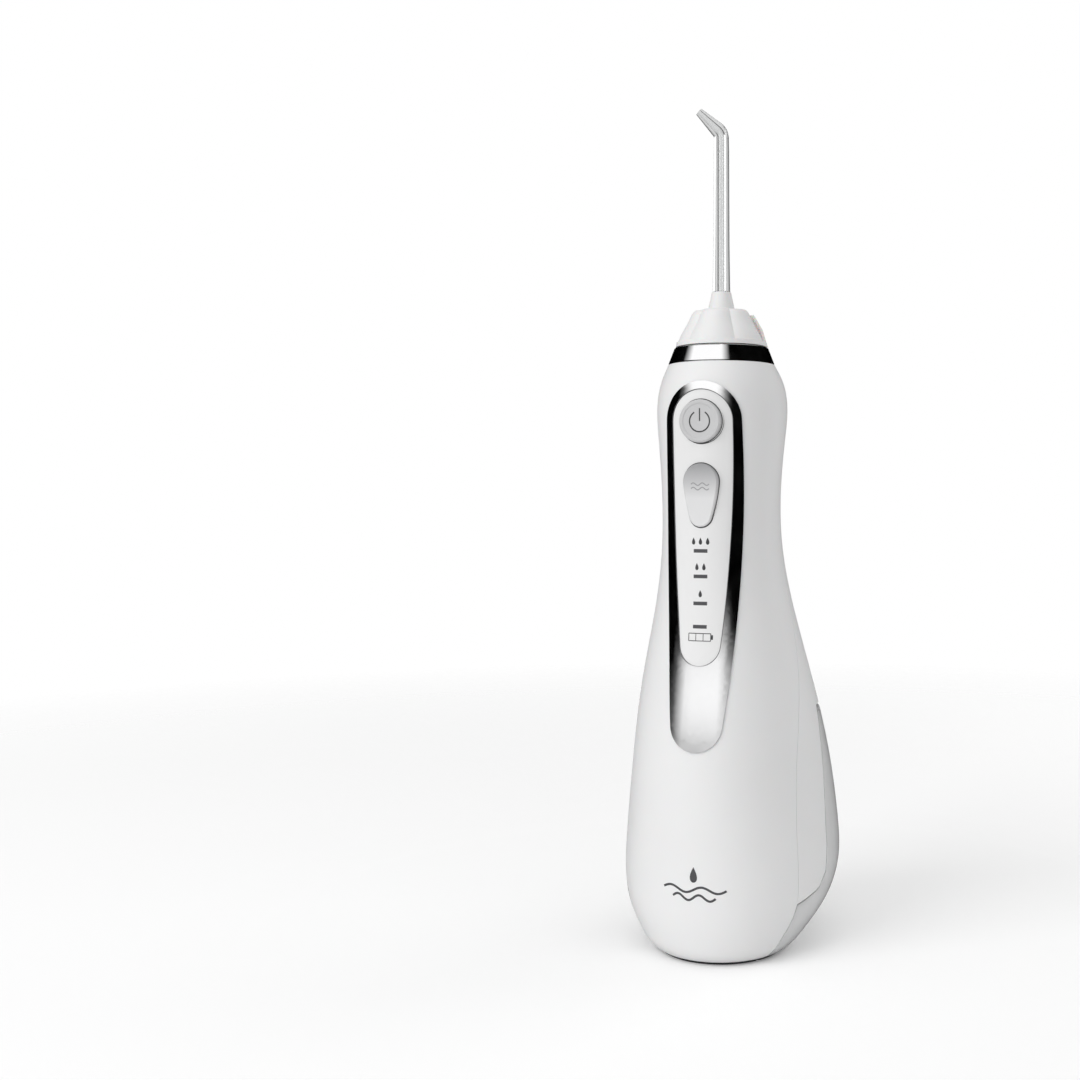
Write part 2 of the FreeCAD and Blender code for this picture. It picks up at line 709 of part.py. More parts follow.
def eject_button():
    """Curved thumb shield behind the dial, with the tab and arm that reach in under the ring."""
    shield = turned("shield_turned", [
        (19.6, 209.0), (20.8, 209.0), (17.5, 217.7), (14.1, 222.4), (13.5, 222.9), (12.9, 222.4),
        (16.3, 217.7),
    ], 80)
    shield.Placement.Rotation = FreeCAD.Rotation(V(0, 0, 1), 90)
    tab = box("release_tab", (-5, 5), (19.3, 20.7), (205.0, 209.6))
    arm = box("release_arm", (-5, 5), (13.2, 20.7), (205.0, 207.0))
    return finish("eject_button", fuse("eject_button_body", shield, tab, arm))


def eject_latch():
    """Sliding plate that lets go of the tip, slotted around the socket."""
    plate = rod("latch_disc", 10.5, 2.0, z=205.0)
    tongue = box("latch_tongue", (-5, 5), (4, 13.2), (205.0, 207.0))
    slot_ends = [rod("latch_slot_%d" % i, seat_r + 0.3, 4, y=y, z=204) for i, y in enumerate((0, 1.4))]
    middle = box("latch_slot_middle", (-seat_r - 0.3, seat_r + 0.3), (0, 1.4), (204, 208))
    whole = fuse("latch_whole", plate, tongue)
    return finish("eject_latch", cut("eject_latch_body", whole, middle, *slot_ends))


# ---------------------------------------------------------------- drive and pump

drive_y = size("drive_y", -11.0)
gear_x = size("gear_x", -11.5)
gear_step = size("gear_centre_step", 13.75)
gear_low = size("gear_low", 40.8)
gear_high = size("gear_high", 45.2)
crank_throw = size("crank_throw", 2.2)
crank_pin_r = size("crank_pin_radius", 1.5)
motor_r = size("motor_radius", 12.0)
motor_low = size("motor_low", 48.6)
motor_high = size("motor_high", 79.6)
shaft_r = size("shaft_radius", 1.0)
piston_r = size("piston_radius", 3.95)
cylinder_r = size("cylinder_bore_radius", 4.0)
TEETH = {"gear": 44, "pinion": 11}


def toothed(name, count, root, tip, low, high, hub_bore):
    """A spur gear: disc, one tooth and its pattern round the axis."""
    body = add("PartDesign::Body", name)
    disc = body_sketch(body, name + "_disc_outline", "XY_Plane")
    for i, radius in enumerate((root, as_dim(hub_bore))):
        disc.addGeometry(Part.Circle(V(0, 0, 0), V(0, 0, 1), radius.value), False)
        disc.addConstraint(Sketcher.Constraint("Coincident", i, 3, -1, 1))
        set_radius(disc, i, radius)
    pad = body.newObject("PartDesign::Pad", name + "_disc")
    pad.Profile = disc
    bind(pad, "Length", as_dim(high) - low)
    tooth_sketch = body_sketch(body, name + "_tooth_outline", "XY_Plane")
    trace(tooth_sketch, [(root - 0.3, -0.46), (tip, -0.17), (tip, 0.17), (root - 0.3, 0.46)])
    tooth = body.newObject("PartDesign::Pad", name + "_tooth")
    tooth.Profile = tooth_sketch
    bind(tooth, "Length", as_dim(high) - low)
    ring = body.newObject("PartDesign::PolarPattern", name + "_teeth")
    ring.Originals = [tooth]
    ring.Axis = (disc, ["N_Axis"])
    ring.Angle = 360
    ring.Occurrences = count
    body.Tip = ring
    return body


def drive_train():
    """Large gear with its crank pin, the motor pinion and the motor shaft."""
    wheel = toothed("wheel", TEETH["gear"], as_dim(10.45), as_dim(11.4), gear_low, gear_high, 1.55)
    place(wheel, gear_x, drive_y, gear_low)
    web = cut("wheel_web", rod("web_disc", 6.0, 1.4, gear_x, drive_y, gear_low - 1.4),
              rod("web_rim", 1.55, 0.1, gear_x, drive_y, gear_low - 0.1))
    pin = rod("crank_pin", crank_pin_r, 7.4, gear_x, drive_y - crank_throw, gear_low - 1.4 - 7.4)
    finish("drive_gear", fuse("drive_gear_body", wheel, web, pin))
    pinion = toothed("pinion_wheel", TEETH["pinion"], as_dim(2.2), as_dim(3.1), gear_low, gear_high,
                     shaft_r)
    place(pinion, gear_x + gear_step, drive_y, gear_low)
    finish("motor_pinion", pinion)
    shaft = rod("shaft_rod", shaft_r, motor_high + 4.0 - gear_low, gear_x + gear_step, drive_y, gear_low)
    finish("motor_shaft", shaft)


def gear_plate():
    """Metal bracket between motor and gear, with the gear's axle."""
    plate = box("plate_slab", (-25, 16), (-20, frame_front), (46.4, motor_low))
    inside = skin("plate_skin", wall + 0.3)
    shaped = common("plate_shaped", plate, inside)
    hole = rod("plate_shaft_hole", 3.6, 6, gear_x + gear_step, drive_y, 45)
    axle_hole = rod("plate_axle_hole", 1.5, 6, gear_x, drive_y, 45)
    finish("gear_plate", cut("gear_plate_body", shaped, hole, axle_hole))
    axle = rod("axle_rod", 1.5, motor_low - gear_low, gear_x, drive_y, gear_low)
    finish("gear_axle", axle)


def motor():
    """Drawn motor can and its plastic end cap with two tags."""
    x = gear_x + gear_step
    can = turned("can_turned", [
        (3.2, motor_low), (11.2, motor_low), (motor_r, motor_low + 0.8), (motor_r, motor_high),
        (11.2, motor_high), (11.2, motor_low + 1.2), (3.2, motor_low + 1.2),
    ])
    place(can, x, drive_y, 0)
    finish("motor_can", can)
    cap = turned("cap_turned", [
        (shaft_r + 0.1, motor_high - 2), (11.2, motor_high - 2), (11.2, motor_high),
        (motor_r - 0.4, motor_high), (motor_r - 0.4, motor_high + 1.6), (3.4, motor_high + 1.6),
        (3.4, motor_high + 3), (shaft_r + 0.1, motor_high + 3),
    ])
    place(cap, x, drive_y, 0)
    tags = [box("motor_tag_%d" % i, (x + side - 1.2, x + side + 1.2), (drive_y - 0.3, drive_y + 0.3),
                (motor_high + 1.5, motor_high + 4.5)) for i, side in enumerate((-7.5, 7.5))]
    finish("motor_end_cap", fuse("motor_end_cap_body", cap, *tags))
    coil = turned("coil_turned", [
        (shaft_r, motor_low + 4), (9.2, motor_low + 4), (9.6, motor_low + 6), (9.6, motor_high - 6),
        (9.2, motor_high - 4), (shaft_r, motor_high - 4),
    ])
    place(coil, x, drive_y, 0)
    finish("motor_armature", coil)


def pump():
    """Cylinder, head, piston with its yoke, valves and the water ways."""
    cylinder = rod("cylinder_outer", 6.2, 15.5, 0.5, drive_y, pump_z, TO_X)
    foot = box("cylinder_foot", (2, 16), (drive_y - 5, drive_y + 5), (frame_floor + 2, pump_z - 2))
    bore = rod("cylinder_bore", cylinder_r, 20, -1, drive_y, pump_z, TO_X)
    finish("pump_cylinder", cut("pump_cylinder_body", fuse("cylinder_whole", cylinder, foot), bore))

    head = box("head_block", (16, 23.2), (-15.4, -4.6), (frame_floor + 2, 40.4))
    edge = add("Part::Chamfer", "head_edges")
    edge.Base = head
    edge.Edges = [(1, 1.0, 1.0), (3, 1.0, 1.0), (5, 1.0, 1.0), (7, 1.0, 1.0)]
    chamber = rod("head_chamber", 1.6, 3.6, 15.9, drive_y, pump_z, TO_X)
    inlet_way = rod("inlet_way", 1.5, 7, inlet_x, drive_y, pump_z, TO_Y)
    outlet_way = rod("outlet_way", 1.5, 8, inlet_x, drive_y, pump_z)
    barb = rod("outlet_barb", 1.9, 4.6, inlet_x, drive_y, 40.2)
    barb_bore = rod("outlet_barb_bore", 1.1, 6, inlet_x, drive_y, 40)
    body = fuse("head_whole", edge, barb)
    finish("pump_head", cut("pump_head_body", body, chamber, inlet_way, outlet_way, barb_bore))
    finish("inlet_valve", valve("inlet_disc", drive_y + 4.2, pump_z, TO_Y))
    finish("outlet_valve", valve("outlet_disc", drive_y, pump_z + 3.2, None))

    yoke = box("yoke_block", (gear_x - 7.6, gear_x + 7.6), (drive_y - 5.8, drive_y + 5.8), (31.8, 36.2))
    slot = box("yoke_slot", (gear_x - 5.95, gear_x + 5.95), (drive_y - 3.95, drive_y + 3.95), (31, 37))
    stem = rod("piston_stem", 2.0, 9.6, gear_x + 7.4, drive_y, pump_z, TO_X)
    crown = rod("piston_crown", piston_r, 8.0, 4.4, drive_y, pump_z, TO_X)
    groove = cut("piston_groove", rod("groove_outer", 5, 1.2, 9.6, drive_y, pump_z, TO_X),
                 rod("groove_core", 3.1, 1.2, 9.6, drive_y, pump_z, TO_X))
    finish("piston_yoke", cut("piston_yoke_body", fuse("piston_whole", yoke, stem, crown), slot, groove))
    seal = cut("piston_seal_body", rod("seal_disc", cylinder_r - 0.02, 1.2, 9.6, drive_y, pump_z, TO_X),
               rod("seal_core", 3.1, 2, 9.2, drive_y, pump_z, TO_X))
    finish("piston_seal", seal)

    spigot = rod("spigot_tube", spigot_r, 15.4, inlet_x, -4.6, pump_z, TO_Y)
    spigot_bore = rod("spigot_bore", 1.5, 18, inlet_x, -6, pump_z, TO_Y)
    seal_groove = cut("spigot_groove", rod("spigot_groove_outer", 4, 1.0, inlet_x, 8.0, pump_z, TO_Y),
                      rod("spigot_groove_core", 2.1, 1.0, inlet_x, 8.0, pump_z, TO_Y))
    finish("inlet_spigot", cut("inlet_spigot_body", spigot, spigot_bore, seal_groove))
    finish("inlet_seal", torus("spigot_seal", 2.56, 0.43, inlet_x, 8.5, pump_z, TO_Y))


def valve(name, y, z, turn):
    """A small soft umbrella valve inside a water way."""
    x = inlet_x
    disc = rod(name, 1.45, 0.6, x, y, z, turn)
    if turn is None:
        stem = rod(name + "_stem", 0.5, 2.0, x, y, z + 0.5)
    else:
        stem = rod(name + "_stem", 0.5, 2.0, x, y - 1.9, z, turn)
    return fuse(name + "_valve", disc, stem)


def outlet_hose():
    """Pressure hose from the pump head up beside the cell to the socket."""
    points = [
        (inlet_x.value, drive_y.value, 40.5), (inlet_x.value, drive_y.value, 46),
        (inlet_x.value, drive_y.value, 60), (17.8, -8.0, 80), (14.6, -1.0, 100), (13.4, 3.0, 122),
        (13.2, 3.2, 148), (10.4, 2.5, 164), (4.6, 1.1, 175), (0.9, 0.2, 182), (0, 0, 186), (0, 0, 189),
        (0, 0, 191.9),
    ]
    path = tube_path("hose_path", points)
    heading = path.Shape.Edges[0].tangentAt(path.Shape.Edges[0].FirstParameter)
    outer = swept("hose_outer", path, points[0], tuple(heading), as_dim(3.0))
    inner = swept("hose_inner", path, points[0], tuple(heading), as_dim(2.42))
    return finish("outlet_hose", cut("outlet_hose_body", outer, inner))


# ---------------------------------------------------------------- power and controls

cell_r = size("cell_radius", 9.1)
cell_y = size("cell_y", 4.4)
cell_x = size("cell_x", -1.6)
cell_low = size("cell_low", 92.0)
cell_high = size("cell_high", 157.0)
board_front = size("board_front", -16.4)
board_back = size("board_back", -15.2)
port_r = size("port_radius", 5.0)
port_z = size("port_height", 150.0)


def battery_cell():
    """Round lithium cell with its raised end."""
    cell = turned("cell_turned", [
        (0, cell_low), (cell_r - 0.6, cell_low), (cell_r, cell_low + 0.6), (cell_r, cell_high - 0.8),
        (cell_r - 0.8, cell_high), (3.4, cell_high), (3.4, cell_high + 0.9), (0, cell_high + 0.9),
    ])
    place(cell, cell_x, cell_y, 0)
    return finish("battery_cell", cell)


def battery_cradle():
    """Ribbed carrier that holds the cell, the hose and the board in the neck."""
    ribs = []
    for i, level in enumerate((97.0, 124.0, 151.0)):
        slab = box("rib_%d" % i, (-40, 40), (board_back, 3.6), (level, level + 2))
        ribs.append(common("rib_shaped_%d" % i, INNER, slab))
    spine = box("cradle_spine", (-8.6, 8.6), (board_back, board_back + 1.6), (97, 189))
    cheeks = box("cradle_cheeks", (cell_x - cell_r, cell_x + cell_r), (board_back, cell_y - 4), (97, 153))
    cell_space = rod("cell_space", cell_r, 80, cell_x, cell_y, 90)
    hose_space = box("hose_space", (9.4, 30), (-8.5, 8), (90, 160))
    lead_space = box("lead_space", (-14, -10.9), (-4, 8), (90, 160))
    whole = fuse("cradle_whole", spine, cheeks, *ribs)
    return finish("battery_cradle", cut("battery_cradle_body", whole, cell_space, hose_space, lead_space))


def control_board():
    """Circuit board behind the panel with its switches and lamps."""
    board = box("board_slab", (-8.6, 8.6), (board_front, board_back), (106, 192))
    chip = box("board_chip", (-3.5, 3.5), (board_front - 1.0, board_front), (143, 147))
    finish("control_board", board)
    finish("board_chip", chip)
    switches = []
    for i, z in enumerate((power_z, as_dim(158.0))):
        switches.append(box("switch_case_%d" % i, (-3, 3), (board_front - 1.6, board_front), (z - 3, z + 3)))
        switches.append(rod("switch_pin_%d" % i, 1.6, 0.6, 0, board_front - 2.2, z, TO_Y))
    finish("button_switches", fuse("button_switches_body", *switches))
    lamps = [box("lamp_%d" % i, (-1.6, 1.6), (board_front - 0.9, board_front), (z - 0.8, z + 0.8))
             for i, z in enumerate(led_heights)]
    finish("status_leds", fuse("status_leds_body", *lamps))


def power_button():
    """Round key with a shallow dish and a stem for its switch."""
    key = turned("power_turned", [
        (0, 19.5), (1.7, 19.5), (1.7, 20.6), (power_r, 20.6), (power_r, 23.8), (power_r - 0.5, 24.2),
        (power_r - 1.2, 24.2), (power_r - 1.6, 24.0), (0, 23.85),
    ])
    place(key, 0, 0, power_z, FRONT)
    return finish("power_button", key)


def mode_button():
    """Pointed key below the power key, its front edge bevelled."""
    base = mode_hole("mode_base", 0, mode_front + mode_bevel, as_dim(-20.4) - mode_front - mode_bevel)
    faces = []
    for i, (y, shrink) in enumerate(((mode_front + mode_bevel, 0), (mode_front, mode_bevel))):
        sketch = add("Sketcher::SketchObject", "mode_face_%d" % i)
        egg(sketch, mode_top, mode_top_r - shrink, mode_low, mode_low_r - shrink, mode_side_r)
        faces.append(place(sketch, 0, y, 0, FRONT))
    bevel = add("Part::Loft", "mode_bevel_loft")
    bevel.Sections = faces
    bevel.Solid = True
    bevel.Ruled = True
    stem = rod("mode_stem", 1.7, 1.4, 0, -20.9, 158.0, TO_Y)
    return finish("mode_button", fuse("mode_button_body", base, bevel, stem))


def charge_port():
    """Charging inlet in the back of the neck with two contacts."""
    disc = rod("port_disc", port_r, 4.5, 0, 18, port_z, TO_Y)
    shaped = common("port_shaped", disc, OUTER)
    dish = rod("port_dish", port_r - 1.2, 4, 0, 21.8, port_z, TO_Y)
    pins = [rod("port_pin_hole_%d" % i, 0.9, 8, x, 16, port_z, TO_Y) for i, x in enumerate((-1.7, 1.7))]
    finish("charge_port", cut("charge_port_body", shaped, dish, *pins))
    contacts = [rod("port_pin_%d" % i, 0.9, 5.6, x, 17, port_z, TO_Y) for i, x in enumerate((-1.7, 1.7))]
    finish("charge_contacts", fuse("charge_contacts_body", *contacts))


def leads():
    """Wires from the motor tags to the front of the board."""
    middle = gear_x.value + gear_step.value
    front = board_front.value - 0.65
    wires = []
    for i, (tag, pad) in enumerate(((middle - 7.5, -5.0), (middle + 7.5, 5.6))):
        points = [
            (tag, drive_y.value, 84.2), (tag, drive_y.value - 1.6, 88.5), (pad, front - 0.7, 94.5),
            (pad, front - 0.4, 101), (pad, front, 107), (pad, front, 109.5),
        ]
        path = tube_path("lead_path_%d" % i, points)
        edge = path.Shape.Edges[0]
        heading = tuple(edge.tangentAt(edge.FirstParameter))
        wires.append(swept("lead_wire_%d" % i, path, points[0], heading, as_dim(0.6)))
    return finish("motor_leads", fuse("motor_leads_body", *wires))


# ---------------------------------------------------------------- build

front_shell()
rear_shell()
inner_frame()
shell_screws()
front_trim()
control_panel()
led_windows()
feet()
reservoir_tank()
intake_straw()
fill_door()
door_parts()
top_ring()
head_seat()
rotation_collar()
jet_tip()
tip_seals()
eject_button()
eject_latch()
drive_train()
gear_plate()
motor()
pump()
outlet_hose()
battery_cell()
battery_cradle()
control_board()
power_button()
mode_button()
charge_port()
leads()

DOC.recompute()
for obj in DOC.Objects:
    if "Invalid" in obj.State or "Error" in obj.State:
        raise RuntimeError("%s (%s) did not build: %s" % (obj.Name, obj.Label, obj.State))
os.makedirs("parts", exist_ok=True)
for node, obj in NODES:
    shape = obj.Shape
    if shape.isNull() or not shape.isValid() or not shape.Solids:
        raise RuntimeError("%s has no valid solid" % node)
    shape.exportStep("parts/%s.step" % node)
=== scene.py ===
"""Looks for the cordless water flosser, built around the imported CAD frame."""

import math

import bmesh
import bpy
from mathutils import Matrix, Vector
from mathutils.bvhtree import BVHTree


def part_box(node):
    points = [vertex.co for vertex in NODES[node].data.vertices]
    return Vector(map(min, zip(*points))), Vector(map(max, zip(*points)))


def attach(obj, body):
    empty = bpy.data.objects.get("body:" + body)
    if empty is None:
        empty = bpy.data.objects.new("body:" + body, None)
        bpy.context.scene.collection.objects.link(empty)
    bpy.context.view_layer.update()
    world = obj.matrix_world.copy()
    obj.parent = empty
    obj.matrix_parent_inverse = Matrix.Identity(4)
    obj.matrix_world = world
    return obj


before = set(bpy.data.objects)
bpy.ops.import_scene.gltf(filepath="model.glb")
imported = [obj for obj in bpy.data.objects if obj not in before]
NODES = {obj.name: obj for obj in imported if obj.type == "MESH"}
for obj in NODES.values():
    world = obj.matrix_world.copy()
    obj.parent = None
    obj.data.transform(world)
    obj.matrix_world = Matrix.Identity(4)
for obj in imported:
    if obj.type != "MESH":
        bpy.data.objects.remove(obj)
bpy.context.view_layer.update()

MM = 0.001
AXIS_Y = (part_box("top_ring")[0].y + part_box("top_ring")[1].y) / 2
FRONT_AZIMUTH = math.radians(18)


# ---------------------------------------------------------------- materials

def new_material(name):
    mat = bpy.data.materials.new(name)
    mat.use_nodes = True
    return mat, mat.node_tree, mat.node_tree.nodes["Principled BSDF"]


def link(tree, source, socket):
    tree.links.new(source, socket)


def object_coordinates(tree):
    return tree.nodes.new("ShaderNodeTexCoord").outputs["Object"]


def noise(tree, vector, scale, detail=3.0, roughness=0.55, distortion=0.0):
    node = tree.nodes.new("ShaderNodeTexNoise")
    node.inputs["Scale"].default_value = scale
    node.inputs["Detail"].default_value = detail
    node.inputs["Roughness"].default_value = roughness
    node.inputs["Distortion"].default_value = distortion
    link(tree, vector, node.inputs["Vector"])
    return node.outputs["Fac"]


def spread(tree, value, low, high, start=0.3, end=0.7):
    """Map a 0-1 pattern onto low-high."""
    node = tree.nodes.new("ShaderNodeMapRange")
    for socket, number in zip(node.inputs[1:5], (start, end, low, high)):
        socket.default_value = number
    link(tree, value, node.inputs["Value"])
    return node.outputs["Result"]


def ramp(tree, value, stops):
    """Colour ramp from (position, colour) stops."""
    node = tree.nodes.new("ShaderNodeValToRGB")
    elements = node.color_ramp.elements
    while len(elements) < len(stops):
        elements.new(0.5)
    for element, (position, color) in zip(elements, stops):
        element.position = position
        element.color = (*color, 1.0)
    link(tree, value, node.inputs["Fac"])
    return node.outputs["Color"]


def bump(tree, shader, layers):
    """Stack (pattern, depth in mm) layers into the shader's normal."""
    before = None
    for pattern, depth in layers:
        node = tree.nodes.new("ShaderNodeBump")
        node.inputs["Strength"].default_value = 1.0
        node.inputs["Distance"].default_value = depth * MM
        link(tree, pattern, node.inputs["Height"])
        if before is not None:
            link(tree, before, node.inputs["Normal"])
        before = node.outputs["Normal"]
    link(tree, before, shader.inputs["Normal"])


def grey(level):
    return (level, level, level)


def scaled(color, factor):
    return tuple(min(1.0, c * factor) for c in color)


def stretched(tree, where, along):
    """Coordinates squeezed along the height, so that a pattern runs up and down."""
    node = tree.nodes.new("ShaderNodeMapping")
    node.inputs["Scale"].default_value = (1.0, 1.0, along)
    link(tree, where, node.inputs["Vector"])
    return node.outputs["Vector"]


def moulded(name, color, rough, tone=0.02, grain=0.25, grain_depth=0.004, wave_depth=0.02,
            rough_spread=0.05, **sockets):
    """Moulded plastic: fine grain, slow surface waves, slight tone and gloss variation."""
    mat, tree, shader = new_material(name)
    where = object_coordinates(tree)
    slow = noise(tree, where, 28.0, 2.0)
    fine = noise(tree, where, 1.0 / (grain * MM), 2.0, 0.6)
    wave = noise(tree, where, 90.0, 1.0)
    smudge = noise(tree, where, 140.0, 4.0, 0.62, 0.4)
    link(tree, ramp(tree, slow, [(0.3, scaled(color, 1 - tone)), (0.7, scaled(color, 1 + tone))]),
         shader.inputs["Base Color"])
    link(tree, spread(tree, smudge, rough - rough_spread, rough + rough_spread),
         shader.inputs["Roughness"])
    bump(tree, shader, [(wave, wave_depth), (fine, grain_depth)])
    for key, value in sockets.items():
        shader.inputs[key.replace("_", " ")].default_value = value
    return mat


def polished(name, color, rough, brushed=0.0):
    """Metal: mirror polish with faint wipe marks, or brushed along the height."""
    mat, tree, shader = new_material(name)
    where = object_coordinates(tree)
    shader.inputs["Metallic"].default_value = 1.0
    wipe = noise(tree, where, 160.0, 5.0, 0.65, 0.6)
    link(tree, spread(tree, wipe, rough * 0.6, rough * 1.7), shader.inputs["Roughness"])
    link(tree, ramp(tree, wipe, [(0.25, scaled(color, 0.97)), (0.75, color)]),
         shader.inputs["Base Color"])
    layers = [(noise(tree, where, 60.0, 1.0), 0.006)]
    if brushed:
        layers.append((noise(tree, stretched(tree, where, 0.03), 5200.0, 2.0), brushed))
    bump(tree, shader, layers)
    return mat


def clear(name, color, rough, ior, flow, haze, see_through=1.0):
    """Clear moulded plastic with flow lines and a little haze."""
    mat, tree, shader = new_material(name)
    where = object_coordinates(tree)
    flows = noise(tree, stretched(tree, where, 0.25), 240.0, 3.0, 0.6, 0.5)
    link(tree, ramp(tree, flows, [(0.3, scaled(color, 0.97)), (0.7, color)]),
         shader.inputs["Base Color"])
    link(tree, spread(tree, flows, rough, rough + haze), shader.inputs["Roughness"])
    bump(tree, shader, [(flows, flow)])
    shader.inputs["Transmission Weight"].default_value = see_through
    shader.inputs["IOR"].default_value = ior
    return mat


def reflection_graded(name, top, low, top_z, low_z, rough):
    """Moulded key with a painted reflection gradient: its colour runs from top to bottom."""
    mat, tree, shader = new_material(name)
    where = object_coordinates(tree)
    split = tree.nodes.new("ShaderNodeSeparateXYZ")
    link(tree, where, split.inputs["Vector"])
    height = spread(tree, split.outputs["Z"], 0.0, 1.0, low_z, top_z)
    link(tree, ramp(tree, height, [(0.0, low), (0.45, scaled(low, 0.97)), (1.0, top)]),
         shader.inputs["Base Color"])
    fine = noise(tree, where, 3600.0, 2.0)
    smudge = noise(tree, where, 260.0, 4.0, 0.6, 0.3)
    link(tree, spread(tree, smudge, rough - 0.05, rough + 0.05), shader.inputs["Roughness"])
    bump(tree, shader, [(smudge, 0.012), (fine, 0.005)])
    return mat


WHITE = (0.80, 0.80, 0.802)
shell_white = moulded("shell_white", WHITE, 0.42, tone=0.01, grain=0.22, wave_depth=0.004,
                      rough_spread=0.02, Coat_Weight=0.12, Coat_Roughness=0.3,
                      Subsurface_Weight=0.04, Subsurface_Scale=0.002)
dial_white = moulded("dial_white", (0.80, 0.80, 0.80), 0.46, tone=0.01, wave_depth=0.004,
                     rough_spread=0.02, Subsurface_Weight=0.08, Subsurface_Scale=0.002)
shield_white = moulded("shield_white", (0.86, 0.86, 0.855), 0.42, tone=0.01, wave_depth=0.004,
                       rough_spread=0.02, Subsurface_Weight=0.3, Subsurface_Scale=0.004)
panel_grey = moulded("panel_satin", (0.79, 0.79, 0.79), 0.45, tone=0.008, grain=0.18,
                     grain_depth=0.003, wave_depth=0.004, rough_spread=0.02)
chrome = polished("chrome_polish", (0.90, 0.90, 0.905), 0.07)
power_grey = moulded("power_key_satin", (0.56, 0.56, 0.565), 0.40, tone=0.015, grain=0.15,
                     grain_depth=0.004, wave_depth=0.004)
mode_low, mode_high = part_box("mode_button")
# painted reflection: the pointed key's colour runs dark at its top to light at its bottom
mode_key_reflection = reflection_graded("mode_key_painted_reflection", (0.31, 0.31, 0.32), (0.74, 0.74, 0.745), mode_high.z,
                   mode_low.z, 0.38)
# dark print colour, also used for the painted shadow round the keys
dark_print_and_shadow = moulded("dark_print_and_shadow", (0.05, 0.05, 0.052), 0.6, grain=0.1)
# grey print colour, also used for the painted shadow line along the panel's edge
grey_print_and_shadow = moulded("grey_print_and_shadow", (0.075, 0.075, 0.08), 0.5, grain=0.1)
mark_grey = moulded("mark_grey", (0.30, 0.30, 0.31), 0.5, grain=0.1)
tip_clear = clear("tip_clear", (0.90, 0.905, 0.905), 0.02, 1.49, 0.004, 0.03)
tank_smoke = clear("tank_smoke", (0.97, 0.972, 0.975), 0.14, 1.45, 0.008, 0.08, 0.40)
rubber = moulded("soft_rubber", (0.035, 0.035, 0.038), 0.65, grain=0.12, grain_depth=0.02)
frame_grey = moulded("frame_plastic", (0.50, 0.51, 0.53), 0.5)
nylon = moulded("gear_nylon", (0.78, 0.75, 0.67), 0.48, grain_depth=0.008)
steel = polished("brushed_steel", (0.60, 0.61, 0.63), 0.24, 0.003)
brass = polished("pinion_brass", (0.78, 0.60, 0.28), 0.20, 0.002)
cell_blue = moulded("cell_wrap", (0.10, 0.30, 0.50), 0.3, wave_depth=0.05)
board_green = moulded("board_mask", (0.02, 0.18, 0.08), 0.28, tone=0.2)
dark_plastic = moulded("dark_plastic", (0.04, 0.04, 0.045), 0.5)
lamp_white = moulded("lamp_clear", (0.85, 0.85, 0.78), 0.25)
hose_white = moulded("hose_silicone", (0.70, 0.71, 0.70), 0.45, Subsurface_Weight=0.2,
                     Subsurface_Scale=0.002)

FINISH = {
    "front_shell": shell_white, "rear_shell": shell_white, "rotation_collar": dial_white,
    "eject_button": shield_white, "front_trim": chrome, "top_ring": chrome,
    "control_panel": panel_grey, "power_button": power_grey, "mode_button": mode_key_reflection,
    "led_windows": grey_print_and_shadow, "reservoir_tank": tank_smoke, "fill_door": tank_smoke,
    "intake_straw": tank_smoke, "jet_tip": tip_clear, "nose_foot": rubber,
    "reservoir_foot": rubber, "tip_seals": rubber, "inlet_seal": rubber, "door_seal": rubber,
    "piston_seal": rubber, "inlet_valve": rubber, "outlet_valve": rubber,
    "inner_frame": frame_grey, "battery_cradle": frame_grey, "head_seat": frame_grey,
    "pump_cylinder": frame_grey, "pump_head": frame_grey, "motor_end_cap": dark_plastic,
    "inlet_spigot": frame_grey, "eject_latch": frame_grey, "charge_port": frame_grey,
    "drive_gear": nylon, "piston_yoke": nylon, "shell_screws": steel, "motor_can": steel,
    "motor_shaft": steel, "gear_plate": steel, "gear_axle": steel, "motor_armature": steel,
    "door_hinge_pins": steel, "motor_pinion": brass, "charge_contacts": brass,
    "battery_cell": cell_blue, "control_board": board_green, "board_chip": dark_plastic,
    "button_switches": dark_plastic, "motor_leads": dark_plastic, "status_leds": lamp_white,
    "outlet_hose": hose_white,
}
for node, mat in FINISH.items():
    mesh = NODES[node].data
    mesh.materials.clear()
    mesh.materials.append(mat)


# ---------------------------------------------------------------- printed and moulded marks


def surface(*names):
    """Ray target made of the named CAD nodes at rest."""
    points, faces = [], []
    for name in names:
        mesh = NODES[name].data
        base = len(points)
        points += [v.co.copy() for v in mesh.vertices]
        faces += [[base + i for i in face.vertices] for face in mesh.polygons]
    return BVHTree.FromPolygons(points, faces)


def onto(tree, x, z, lift):
    """Point that lies lift outside the front of a surface at x, z."""
    hit, normal, _, _ = tree.ray_cast(Vector((x, -0.2, z)), Vector((0, 1, 0)))
    if normal.y > 0:
        normal = -normal
    return hit + normal * lift


def piece(name, shape, body, mat):
    """Turn a finished bmesh into a piece that rides on a body."""
    bmesh.ops.recalc_face_normals(shape, faces=shape.faces)
    mesh = bpy.data.meshes.new(name)
    shape.to_mesh(mesh)
    shape.free()
    for face in mesh.polygons:
        face.use_smooth = False
    obj = bpy.data.objects.new(name, mesh)
    bpy.context.scene.collection.objects.link(obj)
    mesh.materials.append(mat)
    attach(obj, body)
    return obj


def wrap(shape, rows, closed):
    """Join rows of four corners into a closed square tube or a ring of it."""
    pairs = list(zip(rows, rows[1:])) + ([(rows[-1], rows[0])] if closed else [])
    for row, after in pairs:
        for k in range(4):
            shape.faces.new((row[k], row[(k + 1) % 4], after[(k + 1) % 4], after[k]))
    if not closed:
        shape.faces.new(rows[0])
        shape.faces.new(rows[-1][::-1])


